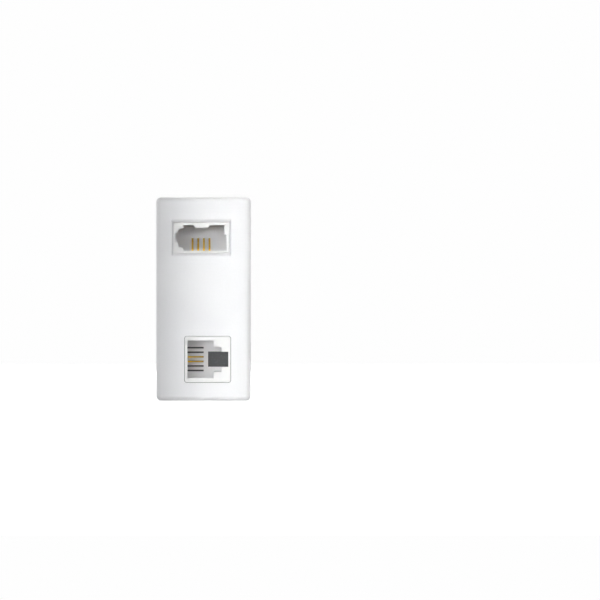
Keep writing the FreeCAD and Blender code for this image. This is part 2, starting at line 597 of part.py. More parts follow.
def phone_socket_body():
    body = piece("phone_socket_body")
    extrude(body, "nose", "front", "nose_y", "face_in_y + fit - nose_y",
            [box("nose_left_x", "phone_z - nose_half", "nose_right_x", "phone_z + nose_half")])
    face = number("nose_y")
    soften(body, "face_edges", "Chamfer", "broken_edge", lambda edge: near(edge.CenterOfMass.y, face))
    extrude(body, "housing", "front", "face_in_y + fit", "phone_rear_y - face_in_y - fit",
            [box("phone_left_x", "phone_z - phone_half", "phone_right_x", "phone_z + phone_half")])
    extrude(body, "cavity", "front", "nose_y", "cavity_end_y - nose_y", [cavity_walls()], cut=True)
    foot = number("cavity_top - rib_depth")
    soften(body, "rounded_rib", "Fillet", "rib_round",
           lambda edge: along(edge, "y") and near(edge.CenterOfMass.z, foot))
    left = "phone_x - cavity_left"
    extrude(body, "latch_way", "front", "nose_y", "ear",
            [box(f"{left} - latch_way", "phone_z - latch_way_height / 2", left,
                 "phone_z + latch_way_height / 2")], cut=True)
    extrude(body, "ridge_way", "front", "nose_y", "ear",
            [box(f"{left} - latch_way - ridge_way", "phone_z - ridge_way_height / 2", f"{left} - latch_way",
                 "phone_z + ridge_way_height / 2")], cut=True)
    extrude(body, "latch_recess", "front", "nose_y + ear", "cavity_end_y - nose_y - ear",
            [box(f"{left} - recess_left", "phone_z - recess_height / 2", left,
                 "phone_z + recess_height / 2")], cut=True)
    slot = extrude(body, "floor_slot", "front", "front_y + slot_start",
                   "back_y + contact_thick / 2 + contact_room - front_y - slot_start",
                   [box("first_contact_x - slot_width / 2", "cavity_floor - slot_depth",
                        "first_contact_x + slot_width / 2", "cavity_floor")], cut=True)
    repeat(body, "floor_slots", slot, "X_Axis", "contact_pitch", 4)
    drop = extrude(body, "tail_slot", "front", "back_y - contact_thick / 2 - contact_room",
                   "contact_thick + 2 * contact_room",
                   [box("first_contact_x - slot_width / 2", "phone_z - phone_half",
                        "first_contact_x + slot_width / 2", "cavity_floor - slot_depth")], cut=True)
    repeat(body, "tail_slots", drop, "X_Axis", "contact_pitch", 4)


def phone_contact(number_of):
    """A flat spring strip: up from the board, forward under the floor, then up and back as the spring."""
    body = piece(f"phone_contact_{number_of}")
    x = f"(first_contact_x + {number_of - 1} * contact_pitch)"
    section = sketch(body, "strip_section", "front", "tail_y")
    loop(section, about(x, "tail_z", "contact_width", "contact_thick"))
    spine = path(body, "strip_line", "side", x,
                 [("tail_y", "tail_z"), ("back_y", "tail_z"), ("back_y", "run_z"),
                  ("front_y + contact_corner", "run_z"),
                  ("back_y - contact_tip", "cavity_floor + contact_rise")], "contact_bend")
    sweep(body, "strip", section, spine)


def data_socket_body():
    body = piece("data_socket_body")
    extrude(body, "block", "front", "data_y", "board_y - data_y",
            [box("data_left_x", "data_z - data_half", "data_right_x", "data_z + data_half")])
    soften(body, "corners", "Fillet", "data_radius", lambda edge: along(edge, "y"))
    face = number("data_y")
    soften(body, "face_edges", "Chamfer", "broken_edge", lambda edge: near(edge.CenterOfMass.y, face))
    low, high = "data_z - {} / 2", "data_z + {} / 2"
    right = [("step_x", "data_height"), ("step_x", "step_height"), ("catch_in_x", "step_height"),
             ("catch_in_x", "catch_height"), ("catch_x", "catch_height")]
    walls = [("data_x", low.format("data_height"))]
    walls += [(x, low.format(height)) for x, height in right]
    walls += [(x, high.format(height)) for x, height in reversed(right)]
    walls.append(("data_x", high.format("data_height")))
    extrude(body, "cavity", "front", "data_y", "data_end_y - data_y", [walls], cut=True)
    extrude(body, "window", "front", "data_end_y", "data_back",
            [box("data_x + window_left", "data_z - catch_height / 2", "catch_x",
                 "data_z + catch_height / 2")], cut=True)
    slot = extrude(body, "comb_slot", "front", "data_end_y", "data_back",
                   [box("data_x", "data_z - 2.5 * comb_pitch - comb_slot / 2", "data_x + comb_length",
                        "data_z - 2.5 * comb_pitch + comb_slot / 2")], cut=True)
    repeat(body, "comb", slot, "Z_Axis", "comb_pitch", 6)
    extrude(body, "insert_seat", "front", "insert_y", "insert_thick",
            [box("data_x", "data_z - data_height / 2", "catch_x", "data_z + data_height / 2")], cut=True)
    extrude(body, "pegs", "front", "board_y", "board_thick",
            rings=[("peg_x", f"data_z + {side} * peg_z", "peg_size / 2") for side in (-1, 1)])


def data_insert():
    """The dark block behind the comb that holds the data contacts."""
    body = piece("data_contact_carrier")
    extrude(body, "block", "front", "insert_y", "insert_thick",
            [box("data_x + fit", "data_z - data_height / 2 + fit", "catch_x - fit",
                 "data_z + data_height / 2 - fit")])
    extrude(body, "wire_notches", "front", "insert_y", "insert_thick",
            [box("data_x + fit", f"data_z + {side} * comb_pitch / 2 - comb_slot / 2",
                 "wire_x + comb_slot / 2", f"data_z + {side} * comb_pitch / 2 + comb_slot / 2")
             for side in (-1, 1)], cut=True)


def data_contact(number_of, side):
    """A square spring wire: along the cavity's wall, then back across it into the comb."""
    body = piece(f"data_contact_{number_of}")
    z = f"(data_z + {side} * comb_pitch / 2)"
    section = sketch(body, "wire_section", "front", "tail_y")
    loop(section, about("wire_x", z, "wire_size", "wire_size"))
    spine = path(body, "wire_line", "top", z,
                 [("wire_x", "tail_y"), ("wire_x", "front_y + wire_corner"),
                  ("data_x + comb_length - wire_size / 2 - fit", "insert_y - wire_tip")], "wire_bend")
    sweep(body, "wire", section, spine)


def line_plug_body():
    body = piece("line_plug_body")
    extrude(body, "nose", "front", "shoulder_y", "tip_y - shoulder_y",
            [about("0", "plug_z", "2 * plug_half", "plug_height")])
    extrude(body, "key", "front", "shoulder_y", "tip_y - shoulder_y",
            [box("0 - plug_half - plug_key", "plug_z - key_top + plug_play", "0 - plug_half", "plug_top")])
    tip = number("tip_y")
    soften(body, "tip_chamfer", "Chamfer", "plug_lead", lambda edge: near(edge.CenterOfMass.y, tip))
    inner_x, inner_z = number("0 - plug_half"), number("plug_z - key_top + plug_play")
    soften(body, "long_edges", "Fillet", "plug_edge",
           lambda edge: along(edge, "y")
           and not (near(edge.CenterOfMass.x, inner_x) and near(edge.CenterOfMass.z, inner_z)))
    extrude(body, "shoulder", "front", "block_y", "shoulder_y - block_y",
            [box("0 - shoulder_x", "shoulder_z - shoulder_half", "plug_half", "shoulder_z + shoulder_half")])
    step = number("shoulder_y")
    soften(body, "shoulder_edges", "Chamfer", "broken_edge",
           lambda edge: near(edge.CenterOfMass.y, step) and not near(edge.CenterOfMass.x, number("plug_half"))
           and (near(edge.CenterOfMass.z, number("shoulder_z - shoulder_half"))
                or near(edge.CenterOfMass.x, number("0 - shoulder_x"))))
    extrude(body, "flange", "front", "flange_y", "flange_thick",
            [box("0 - flange_left", "shoulder_z - pocket_half", "pocket_x", "shoulder_z + pocket_half")])
    extrude(body, "pocket_block", "front", "block_y", "flange_y - block_y",
            [box("plug_half", "shoulder_z - pocket_half", "pocket_x", "shoulder_z + pocket_half")])
    extrude(body, "finger_pocket", "front", "pocket_y", "rear_in_y - pocket_y",
            [box("plug_half", "shoulder_z - aperture_half", "pocket_x", "shoulder_z + aperture_half")],
            cut=True)
    extrude(body, "left_foot", "front", "board_rear_y", "flange_y - board_rear_y",
            [box("0 - flange_left", "shoulder_z", "0 - flange_left + flange_thick",
                 "shoulder_z + pocket_half")])
    extrude(body, "right_foot", "front", "board_rear_y", "foot_height",
            [box("pocket_x - flange_thick", "shoulder_z", "pocket_x", "shoulder_z + pocket_half")])
    slot = extrude(body, "contact_slot", "front", "tip_y - slot_nose - slot_reach", "slot_reach",
                   [box("first_strip_x - slot_width / 2", "strip_top - strip_thick - fit",
                        "first_strip_x + slot_width / 2", "plug_top")], cut=True)
    repeat(body, "contact_slots", slot, "X_Axis", "contact_pitch", 4)
    way = extrude(body, "contact_way", "front", "block_y", "tip_y - slot_nose - slot_reach - block_y",
                  [box("first_strip_x - contact_width / 2 - fit", "strip_top - strip_thick - fit",
                       "first_strip_x + contact_width / 2 + fit", "strip_top + fit")], cut=True)
    repeat(body, "contact_ways", way, "X_Axis", "contact_pitch", 4)
    extrude(body, "latch_seat", "top", "plug_z - base_height / 2 - fit", "base_height + 2 * fit",
            rings=[("hinge_x", "hinge_y", "root_radius + fit")], cut=True)


def plug_contact(number_of):
    """A straight strip from the board to its slot near the tip, its nose sloped off."""
    body = piece(f"plug_contact_{number_of}")
    x = f"(first_strip_x + {number_of - 1} * contact_pitch)"
    end = "tip_y - slot_nose - contact_room"
    extrude(body, "strip", "side", f"{x} - contact_width / 2", "contact_width",
            [[("board_y", "strip_top - strip_thick"), (end, "strip_top - strip_thick"),
              (end, "strip_z"), (f"{end} - strip_thick", "strip_top"), ("board_y", "strip_top")]])


def plug_latch():
    """The latch lever, drawn flat about its hinge and set at its splay.

    Along Y it goes back from the hinge: base with a ridge, narrow neck, finger tab.
    """
    body = piece("plug_latch")
    extrude(body, "arm", "side", "arm_in", "base_thick",
            [[("0", "0 - base_height / 2"), ("0", "base_height / 2"), ("0 - base_length", "base_height / 2"),
              ("0 - base_length", "neck_height / 2"), ("0 - neck_end", "neck_height / 2"),
              ("0 - neck_end", "0 - neck_height / 2"), ("0 - base_length", "0 - neck_height / 2"),
              ("0 - base_length", "0 - base_height / 2")]])
    extrude(body, "ridge", "side", "arm_in + base_thick", "ridge_thick",
            [box("0 - neck_end", "0 - neck_height / 2", "0 - root_radius", "neck_height / 2")])
    extrude(body, "tab", "side", "arm_in", "tab_thick",
            [[("0 - neck_end", "0 - tab_narrow / 2"), ("0 - neck_end", "tab_narrow / 2"),
              ("0 - arm_end", "tab_wide / 2"), ("0 - arm_end", "0 - tab_wide / 2")]])
    end = number("0 - arm_end")
    outside = number("arm_in + tab_thick")
    soften(body, "tab_edges", "Fillet", "tab_radius",
           lambda edge: near(edge.CenterOfMass.y, end)
           and (along(edge, "x") or near(edge.CenterOfMass.x, outside)))
    extrude(body, "root", "top", "0 - base_height / 2", "base_height", rings=[("0", "0", "root_radius")])
    body.setExpression("Placement.Base.x", bound("hinge_x"))
    body.setExpression("Placement.Base.y", bound("hinge_y"))
    body.setExpression("Placement.Base.z", bound("plug_z"))
    body.Placement.Rotation = FreeCAD.Rotation(Vector(0, 0, 1), 1)
    body.setExpression("Placement.Rotation.Angle", bound("splay_angle"))


def choke(side, word):
    """A ferrite core in two halves round a bobbin with its winding, standing on the board."""
    x, z = f"({side} * choke_x)", "choke_z"
    spool = piece(f"{word}_choke_bobbin")
    length = "spool_back_y - spool_front_y"
    extrude(spool, "tube", "front", "spool_front_y", length,
            [about(x, z, "2 * spool_half", "2 * spool_half")])
    for name, start in (("front", "spool_front_y"), ("back", "spool_back_y - spool_wall")):
        extrude(spool, f"{name}_flange", "front", start, "spool_wall",
                [about(x, z, "spool_width", "spool_height")])
    extrude(spool, "pin_rails", "front", "spool_back_y", "part_y - spool_back_y",
            [about(x, f"{z} + {end} * rail_z", "spool_width", "rail_height") for end in (-1, 1)])
    extrude(spool, "bore", "front", "spool_front_y", length,
            [about(x, z, "core_post + 2 * fit", "core_post + 2 * fit")], cut=True)
    extrude(spool, "pins", "front", "part_y", "tail_y - part_y",
            [about(x, f"{z} + {end} * rail_z", "pin_size", "pin_size") for end in (-1, 1)])

    coil = piece(f"{word}_choke_winding")
    extrude(coil, "coil", "front", "spool_front_y + spool_wall + fit", f"{length} - 2 * (spool_wall + fit)",
            [about(x, z, "spool_width - 2 * coil_room", "spool_height - 2 * coil_room"),
             about(x, z, "2 * (spool_half + fit)", "2 * (spool_half + fit)")])
    outer = number("spool_width / 2 - coil_room")
    soften(coil, "coil_corners", "Fillet", "coil_radius",
           lambda edge: along(edge, "y") and near(abs(edge.CenterOfMass.x - number(x)), outer))

    leg = "(core_length / 2 - core_bar - core_gap / 2)"
    legs = [about(f"{x} + {end} * (core_width - core_leg) / 2", z, "core_leg", "core_height")
            for end in (-1, 1)]
    legs.append(about(x, z, "core_post", "core_post"))
    for name, bar, start in (("front", "core_front_y", "core_front_y + core_bar"),
                             ("back", "core_back_y - core_bar", "core_mid_y + core_gap / 2")):
        core = piece(f"{word}_choke_core_{name}")
        extrude(core, "bar", "front", bar, "core_bar", [about(x, z, "core_width", "core_height")])
        extrude(core, "legs", "front", start, leg, legs)


def box_capacitor(name, x, z, width, height, depth, leads):
    """A film capacitor potted in a plastic box, on two leads."""
    body = piece(name)
    extrude(body, "case", "front", f"part_y - {depth}", depth, [about(x, z, width, height)])
    soften(body, "case_edges", "Fillet", "cap_edge", lambda edge: along(edge, "y"))
    extrude(body, "leads", "front", "part_y", "tail_y - part_y",
            [about(u, v, "pin_size", "pin_size") for u, v in leads])


def disc_capacitor(number_of):
    """A dipped disc capacitor, its disc level, on two leads."""
    body = piece(f"ceramic_capacitor_{number_of}")
    x, y = DISCS[number_of - 1], "part_y - disc_stand - disc_size / 2"
    extrude(body, "disc", "top", "caps_z - disc_thick / 2", "disc_thick", rings=[(x, y, "disc_size / 2")])
    soften(body, "sloping_rim", "Chamfer", "disc_edge", lambda edge: len(edge.Vertexes) == 1)
    extrude(body, "leads", "front", y, f"tail_y - ({y})",
            [about(f"{x} + {side} * lead_half", "caps_z", "pin_size", "pin_size") for side in (-1, 1)])


def chip_resistor(number_of):
    """A chip resistor soldered flat on the board by its two end caps."""
    body = piece(f"resistor_{number_of}")
    z = f"(data_z + {number_of - 1.5} * chip_pitch)"
    extrude(body, "chip", "front", "part_y - chip_thick", "chip_thick",
            [about("chip_x", z, "chip_width", "chip_length")])
    extrude(body, "end_caps", "front", "part_y - chip_thick", "chip_thick + part_gap",
            [about("chip_x", f"{z} + {end} * (chip_length - chip_cap) / 2", "chip_width", "chip_cap")
             for end in (-1, 1)])


def circuit_board():
    body = piece("circuit_board")
    extrude(body, "sheet", "front", "board_y", "board_thick",
            [box("0 - board_x", "board_low", "board_x", "board_high")])
    strips = [(f"first_contact_x + {index} * contact_pitch", "tail_z") for index in range(4)]
    strips += [(f"first_strip_x + {index} * contact_pitch", "strip_z") for index in range(4)]
    leads = BELL_LEADS + FILM_LEADS
    leads += [(f"{side} * choke_x", f"choke_z + {end} * rail_z") for side in (-1, 1) for end in (-1, 1)]
    leads += [(f"{x} + {side} * lead_half", "caps_z") for x in DISCS for side in (-1, 1)]
    wires = [("wire_x", f"data_z + {side} * comb_pitch / 2") for side in (-1, 1)]
    extrude(body, "lead_holes", "front", "board_y", "board_thick",
            [about(x, z, f"{size} + 2 * hole_room", f"{size} + 2 * hole_room")
             for spots, size in ((strips, "contact_width"), (leads, "pin_size"), (wires, "wire_size"))
             for x, z in spots], cut=True)
    holes = [(x, z, "post_pin / 2 + fit") for x, z in POSTS]
    holes += [("peg_x", f"data_z + {side} * peg_z", "peg_size / 2 + fit") for side in (-1, 1)]
    extrude(body, "peg_holes", "front", "board_y", "board_thick", rings=holes, cut=True)


# Where posts and leads meet the board: the left side has an upper post, the right one the plug's foot.
POSTS = [("0 - post_x", "post_low"), ("post_x", "post_low"), ("0 - post_x", "post_high")]
DISCS = ["disc_first", "(disc_first + disc_pitch)"]
BELL_LEADS = [(f"bell_x + {side} * (bell_width / 2 - cap_lead)", "caps_z") for side in (-1, 1)]
FILM_LEADS = [("film_x", f"film_z + {side} * (film_height / 2 - cap_lead)") for side in (-1, 1)]

front_cover()
rear_shell()
phone_socket_body()
data_socket_body()
data_insert()
line_plug_body()
plug_latch()
circuit_board()
for index in (1, 2, 3, 4):
    phone_contact(index)
    plug_contact(index)
data_contact(1, -1)
data_contact(2, 1)
choke(-1, "left")
choke(1, "right")
box_capacitor("bell_capacitor", "bell_x", "caps_z", "bell_width", "bell_height", "bell_depth", BELL_LEADS)
box_capacitor("film_capacitor", "film_x", "film_z", "film_width", "film_height", "film_depth", FILM_LEADS)
for index in (1, 2):
    disc_capacitor(index)
    chip_resistor(index)

doc.recompute()
bodies = [item for item in doc.Objects if item.TypeId == "PartDesign::Body"]
for item in doc.Objects:
    if "Invalid" in item.State or "Error" in item.State:
        raise RuntimeError(f"{item.Label} failed: {item.State}")
for body in bodies:
    if body.Shape.isNull() or not body.Shape.isValid() or len(body.Shape.Solids) != 1:
        raise RuntimeError(f"{body.Label} is not one sound solid")
for body in bodies:
    body.Shape.exportStep(f"parts/{body.Label}.step")
    print(f"{body.Label}: {body.Shape.Volume:.1f} cubic mm")
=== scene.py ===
from math import atan, degrees, pi, radians

import bmesh
import bpy
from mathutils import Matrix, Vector


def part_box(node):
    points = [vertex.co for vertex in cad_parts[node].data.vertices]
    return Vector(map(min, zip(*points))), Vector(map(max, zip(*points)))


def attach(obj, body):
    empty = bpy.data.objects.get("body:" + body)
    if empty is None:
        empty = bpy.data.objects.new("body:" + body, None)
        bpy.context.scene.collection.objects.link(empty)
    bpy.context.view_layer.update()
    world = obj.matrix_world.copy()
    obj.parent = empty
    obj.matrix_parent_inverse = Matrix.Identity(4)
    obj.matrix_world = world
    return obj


# The looks of a plug-in telephone line filter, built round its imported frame.
# Metres, in the frame's own axes: X to the right seen from the front, Y to the rear, Z up.
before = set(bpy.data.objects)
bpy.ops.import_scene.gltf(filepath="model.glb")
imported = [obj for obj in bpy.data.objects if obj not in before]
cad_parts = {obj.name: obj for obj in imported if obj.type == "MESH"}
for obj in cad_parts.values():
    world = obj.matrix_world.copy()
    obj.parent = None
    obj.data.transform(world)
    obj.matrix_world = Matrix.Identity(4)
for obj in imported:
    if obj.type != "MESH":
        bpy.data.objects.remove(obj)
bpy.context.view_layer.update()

MM = 0.001
COVER_LOW, COVER_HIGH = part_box("front_cover")
SHELL_LOW, SHELL_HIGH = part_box("rear_shell")
FRONT = COVER_LOW.y
SIDE = COVER_HIGH.x
CASE_HEIGHT = SHELL_HIGH.z
MIDDLE = Vector((0, (FRONT + SHELL_HIGH.y) / 2, CASE_HEIGHT / 2))


# Colours and shader helpers

def linear(code, alpha=1.0):
    """An sRGB hex colour as linear red, green, blue and alpha."""
    parts = [int(code[place:place + 2], 16) / 255 for place in (1, 3, 5)]
    return [part / 12.92 if part <= 0.04045 else ((part + 0.055) / 1.055) ** 2.4 for part in parts] + [alpha]


def per_mm(size):
    """The texture scale whose pattern repeats about every so many millimetres."""
    return 1 / (size * MM)


def bands_per_mm(size):
    """The scale of a wave texture whose bands repeat every so many millimetres."""
    return per_mm(size) * pi / 10


def add(tree, kind, values=None, links=None, **settings):
    """Add one shader node: its settings, the values of its sockets and what feeds them."""
    made = tree.nodes.new(kind)
    for name, value in settings.items():
        setattr(made, name, value)
    for socket, value in (values or {}).items():
        made.inputs[socket].default_value = value
    for socket, source in (links or {}).items():
        tree.links.new(source, made.inputs[socket])
    return made


def begin(name, **values):
    """A new material with one Principled shader, whose constant sockets are set here."""
    material = bpy.data.materials.new(name)
    material.use_nodes = True
    tree = material.node_tree
    tree.nodes.clear()
    words = {key.replace("_", " ").title().replace("Ior", "IOR"): value for key, value in values.items()}
    shader = add(tree, "ShaderNodeBsdfPrincipled", words)
    add(tree, "ShaderNodeOutputMaterial", links={"Surface": shader.outputs["BSDF"]})
    return material, tree, shader


def feed(tree, shader, **sources):
    """Link outputs to the shader's sockets."""
    for name, source in sources.items():
        tree.links.new(source, shader.inputs[name.replace("_", " ").title()])


# Materials, each named for what it is and how its surface was made

def spark_eroded_abs():
    """Off-white ABS from a spark-eroded mould: a fine dull grain that breaks up every highlight."""
    material, tree, shader = begin("spark_eroded_abs", ior=1.54)
    place = add(tree, "ShaderNodeTexCoord").outputs["Object"]
    pits = add(tree, "ShaderNodeTexVoronoi", {"Scale": per_mm(0.26), "Randomness": 1.0}, {"Vector": place},
               feature="SMOOTH_F1")
    grit = add(tree, "ShaderNodeTexNoise", {"Scale": per_mm(0.5), "Detail": 5.0, "Roughness": 0.62},
               {"Vector": place})
    cloud = add(tree, "ShaderNodeTexNoise", {"Scale": per_mm(17.0), "Detail": 2.0}, {"Vector": place})
    tint = add(tree, "ShaderNodeValToRGB", links={"Fac": cloud.outputs["Fac"]})
    tint.color_ramp.elements[0].position, tint.color_ramp.elements[0].color = 0.3, linear("#EAEAEC")
    tint.color_ramp.elements[1].position, tint.color_ramp.elements[1].color = 0.7, linear("#F0F0F1")
    speck = add(tree, "ShaderNodeMapRange",
                {"From Min": 0.25, "From Max": 0.75, "To Min": 0.972, "To Max": 1.0},
                {"Value": grit.outputs["Fac"]})
    colour = add(tree, "ShaderNodeMix", {"Factor": 1.0},
                 {"A": tint.outputs["Color"], "B": speck.outputs["Result"]},
                 data_type="RGBA", blend_type="MULTIPLY")
    dull = add(tree, "ShaderNodeMapRange", {"From Min": 0.3, "From Max": 0.7, "To Min": 0.44, "To Max": 0.56},
               {"Value": grit.outputs["Fac"]})
    relief = add(tree, "ShaderNodeMath", links={0: pits.outputs["Distance"], 1: grit.outputs["Fac"]},
                 operation="ADD")
    bump = add(tree, "ShaderNodeBump", {"Strength": 0.22, "Distance": 0.03 * MM},
               {"Height": relief.outputs["Value"]})
    feed(tree, shader, base_color=colour.outputs["Result"], roughness=dull.outputs["Result"],
         normal=bump.outputs["Normal"])
    return material


def polished_abs():
    """White ABS of the sockets: a polished face with faint flow waves, and painted shade: a greyer colour on
    everything more than 3 mm behind the front, inside the mouths.
    """
    material, tree, shader = begin("polished_abs", ior=1.54, specular_ior_level=0.3)
    place = add(tree, "ShaderNodeTexCoord").outputs["Object"]
    flow = add(tree, "ShaderNodeTexNoise", {"Scale": per_mm(5.0), "Detail": 2.0, "Distortion": 0.6},
               {"Vector": place})
    fine = add(tree, "ShaderNodeTexNoise", {"Scale": per_mm(0.3), "Detail": 3.0}, {"Vector": place})
    tint = add(tree, "ShaderNodeValToRGB", links={"Fac": flow.outputs["Fac"]})
    tint.color_ramp.elements[0].position, tint.color_ramp.elements[0].color = 0.3, linear("#EDEDED")
    tint.color_ramp.elements[1].position, tint.color_ramp.elements[1].color = 0.7, linear("#F1F1F0")
    gloss = add(tree, "ShaderNodeMapRange",
                {"From Min": 0.3, "From Max": 0.7, "To Min": 0.42, "To Max": 0.52},
                {"Value": fine.outputs["Fac"]})
    waves = add(tree, "ShaderNodeBump", {"Strength": 0.12, "Distance": 0.05 * MM},
                {"Height": flow.outputs["Fac"]})
    # Painted shade: past 3 mm behind the front face the colour turns greyer, so the insides of the mouths
    # look darker than the face.
    painted_shade_starts = FRONT + 3 * MM
    depth = add(tree, "ShaderNodeSeparateXYZ", links={"Vector": place})
    inside = add(tree, "ShaderNodeMath", {1: painted_shade_starts}, {0: depth.outputs["Y"]}, operation="GREATER_THAN")
    colour = add(tree, "ShaderNodeMix", {"B": linear("#E5E5E7")},
                 {"Factor": inside.outputs["Value"], "A": tint.outputs["Color"]}, data_type="RGBA")
    feed(tree, shader, base_color=colour.outputs["Result"], roughness=gloss.outputs["Result"],
         normal=waves.outputs["Normal"])
    return material


def moulded_polycarbonate():
    """White polycarbonate of the plug: glossy, with the faint waves of a skin that cooled in its mould."""
    material, tree, shader = begin("moulded_polycarbonate", ior=1.585, specular_ior_level=0.35)
    place = add(tree, "ShaderNodeTexCoord").outputs["Object"]
    waves = add(tree, "ShaderNodeTexNoise", {"Scale": per_mm(3.0), "Detail": 1.0}, {"Vector": place})
    fine = add(tree, "ShaderNodeTexNoise", {"Scale": per_mm(0.3), "Detail": 3.0}, {"Vector": place})
    tint = add(tree, "ShaderNodeValToRGB", links={"Fac": waves.outputs["Fac"]})
    tint.color_ramp.elements[0].position, tint.color_ramp.elements[0].color = 0.3, linear("#EFF0F1")
    tint.color_ramp.elements[1].position, tint.color_ramp.elements[1].color = 0.7, linear("#F4F4F4")
    gloss = add(tree, "ShaderNodeMapRange",
                {"From Min": 0.3, "From Max": 0.7, "To Min": 0.32, "To Max": 0.37},
                {"Value": fine.outputs["Fac"]})
    skin = add(tree, "ShaderNodeBump", {"Strength": 0.1, "Distance": 0.04 * MM},
               {"Height": waves.outputs["Fac"]})
    feed(tree, shader, base_color=tint.outputs["Color"], roughness=gloss.outputs["Result"],
         normal=skin.outputs["Normal"])
    return material


def glass_filled_nylon_and_painted_shade():
    """Dark grey nylon filled with glass: dull, with short pale fibres just under its skin. Its dark grey is
    partly painted shade, standing in for the dark of the deep hollow behind the data socket's mouth.
    """
    material, tree, shader = begin("glass_filled_nylon_and_painted_shade", ior=1.53)
    place = add(tree, "ShaderNodeTexCoord").outputs["Object"]
    along = add(tree, "ShaderNodeMapping", {"Scale": (1.0, 1.0, 0.25)}, {"Vector": place})
    fibre = add(tree, "ShaderNodeTexVoronoi", {"Scale": per_mm(0.22)}, {"Vector": along.outputs["Vector"]})
    # Partly painted shade: these dark greys stand in for the shade of the hollow where the carrier sits, as
    # well as the carrier's own colour.
    fleck = add(tree, "ShaderNodeValToRGB", links={"Fac": fibre.outputs["Distance"]})
    fleck.color_ramp.elements[0].position, fleck.color_ramp.elements[0].color = 0.06, linear("#77777A")
    fleck.color_ramp.elements[1].position, fleck.color_ramp.elements[1].color = 0.2, linear("#47474A")
    skin = add(tree, "ShaderNodeTexNoise", {"Scale": per_mm(0.4), "Detail": 4.0}, {"Vector": place})
    dull = add(tree, "ShaderNodeMapRange", {"To Min": 0.45, "To Max": 0.65}, {"Value": skin.outputs["Fac"]})
    bump = add(tree, "ShaderNodeBump", {"Strength": 0.25, "Distance": 0.02 * MM},
               {"Height": skin.outputs["Fac"]})
    feed(tree, shader, base_color=fleck.outputs["Color"], roughness=dull.outputs["Result"],
         normal=bump.outputs["Normal"])
    return material


def gold_plated_bronze():
    """Rolled phosphor bronze plated with thin gold: warm and satin, with rolling lines along the strip."""
    material, tree, shader = begin("gold_plated_bronze", metallic=0.6)
    place = add(tree, "ShaderNodeTexCoord").outputs["Object"]
    along = add(tree, "ShaderNodeMapping", {"Scale": (1.0, 0.05, 0.4)}, {"Vector": place})
    lines = add(tree, "ShaderNodeTexNoise", {"Scale": per_mm(0.12), "Detail": 3.0},
                {"Vector": along.outputs["Vector"]})
    wear = add(tree, "ShaderNodeTexNoise", {"Scale": per_mm(1.6), "Detail": 3.0}, {"Vector": place})
    tone = add(tree, "ShaderNodeValToRGB", links={"Fac": wear.outputs["Fac"]})
    tone.color_ramp.elements[0].position, tone.color_ramp.elements[0].color = 0.3, linear("#FFC830")
    tone.color_ramp.elements[1].position, tone.color_ramp.elements[1].color = 0.7, linear("#FFE078")
    gloss = add(tree, "ShaderNodeMapRange", {"From Min": 0.3, "From Max": 0.7, "To Min": 0.36, "To Max": 0.5},
                {"Value": lines.outputs["Fac"]})
    bump = add(tree, "ShaderNodeBump", {"Strength": 0.15, "Distance": 0.008 * MM},
               {"Height": lines.outputs["Fac"]})
    feed(tree, shader, base_color=tone.outputs["Color"], roughness=gloss.outputs["Result"],
         normal=bump.outputs["Normal"])
    return material


def solder_masked_laminate():
    """Glass-epoxy board: green mask over a woven cloth on its faces, bare tan laminate at its sawn edges."""
    material, tree, shader = begin("solder_masked_laminate", ior=1.5, coat_weight=0.3, coat_roughness=0.15)
    where = add(tree, "ShaderNodeTexCoord")
    place = where.outputs["Object"]
    warp = add(tree, "ShaderNodeTexWave", {"Scale": bands_per_mm(0.9), "Distortion": 0.4}, {"Vector": place},
               wave_type="BANDS", bands_direction="X")
    weft = add(tree, "ShaderNodeTexWave", {"Scale": bands_per_mm(0.9), "Distortion": 0.4}, {"Vector": place},
               wave_type="BANDS", bands_direction="Z")
    cloth = add(tree, "ShaderNodeMath", links={0: warp.outputs["Fac"], 1: weft.outputs["Fac"]},
                operation="MAXIMUM")
    mask = add(tree, "ShaderNodeValToRGB", links={"Fac": cloth.outputs["Value"]})
    mask.color_ramp.elements[0].color = linear("#12241A")
    mask.color_ramp.elements[1].color = linear("#1A3324")
    facing = add(tree, "ShaderNodeSeparateXYZ", links={"Vector": where.outputs["Normal"]})
    flat = add(tree, "ShaderNodeMath", links={0: facing.outputs["Y"]}, operation="ABSOLUTE")
    face_limit = 0.7
    on_face = add(tree, "ShaderNodeMath", {1: face_limit},
                  {0: flat.outputs["Value"]}, operation="GREATER_THAN")
    colour = add(tree, "ShaderNodeMix", {"A": linear("#B49B62")},
                 {"Factor": on_face.outputs["Value"], "B": mask.outputs["Color"]}, data_type="RGBA")
    bump = add(tree, "ShaderNodeBump", {"Strength": 0.2, "Distance": 0.02 * MM},
               {"Height": cloth.outputs["Value"]})
    dull = add(tree, "ShaderNodeMapRange", {"To Min": 0.3, "To Max": 0.42}, {"Value": cloth.outputs["Value"]})
    feed(tree, shader, base_color=colour.outputs["Result"], roughness=dull.outputs["Result"],
         normal=bump.outputs["Normal"])
    return material


def moulded_phenolic():
    """Black phenolic of the bobbins: dull and faintly mottled by its filler."""
    material, tree, shader = begin("moulded_phenolic", ior=1.6)
    place = add(tree, "ShaderNodeTexCoord").outputs["Object"]
    filler = add(tree, "ShaderNodeTexNoise", {"Scale": per_mm(0.6), "Detail": 5.0}, {"Vector": place})
    tint = add(tree, "ShaderNodeValToRGB", links={"Fac": filler.outputs["Fac"]})
    tint.color_ramp.elements[0].color = linear("#1B1A19")
    tint.color_ramp.elements[1].color = linear("#33302D")
    dull = add(tree, "ShaderNodeMapRange", {"To Min": 0.4, "To Max": 0.6}, {"Value": filler.outputs["Fac"]})
    bump = add(tree, "ShaderNodeBump", {"Strength": 0.2, "Distance": 0.02 * MM},
               {"Height": filler.outputs["Fac"]})
    feed(tree, shader, base_color=tint.outputs["Color"], roughness=dull.outputs["Result"],
         normal=bump.outputs["Normal"])
    return material


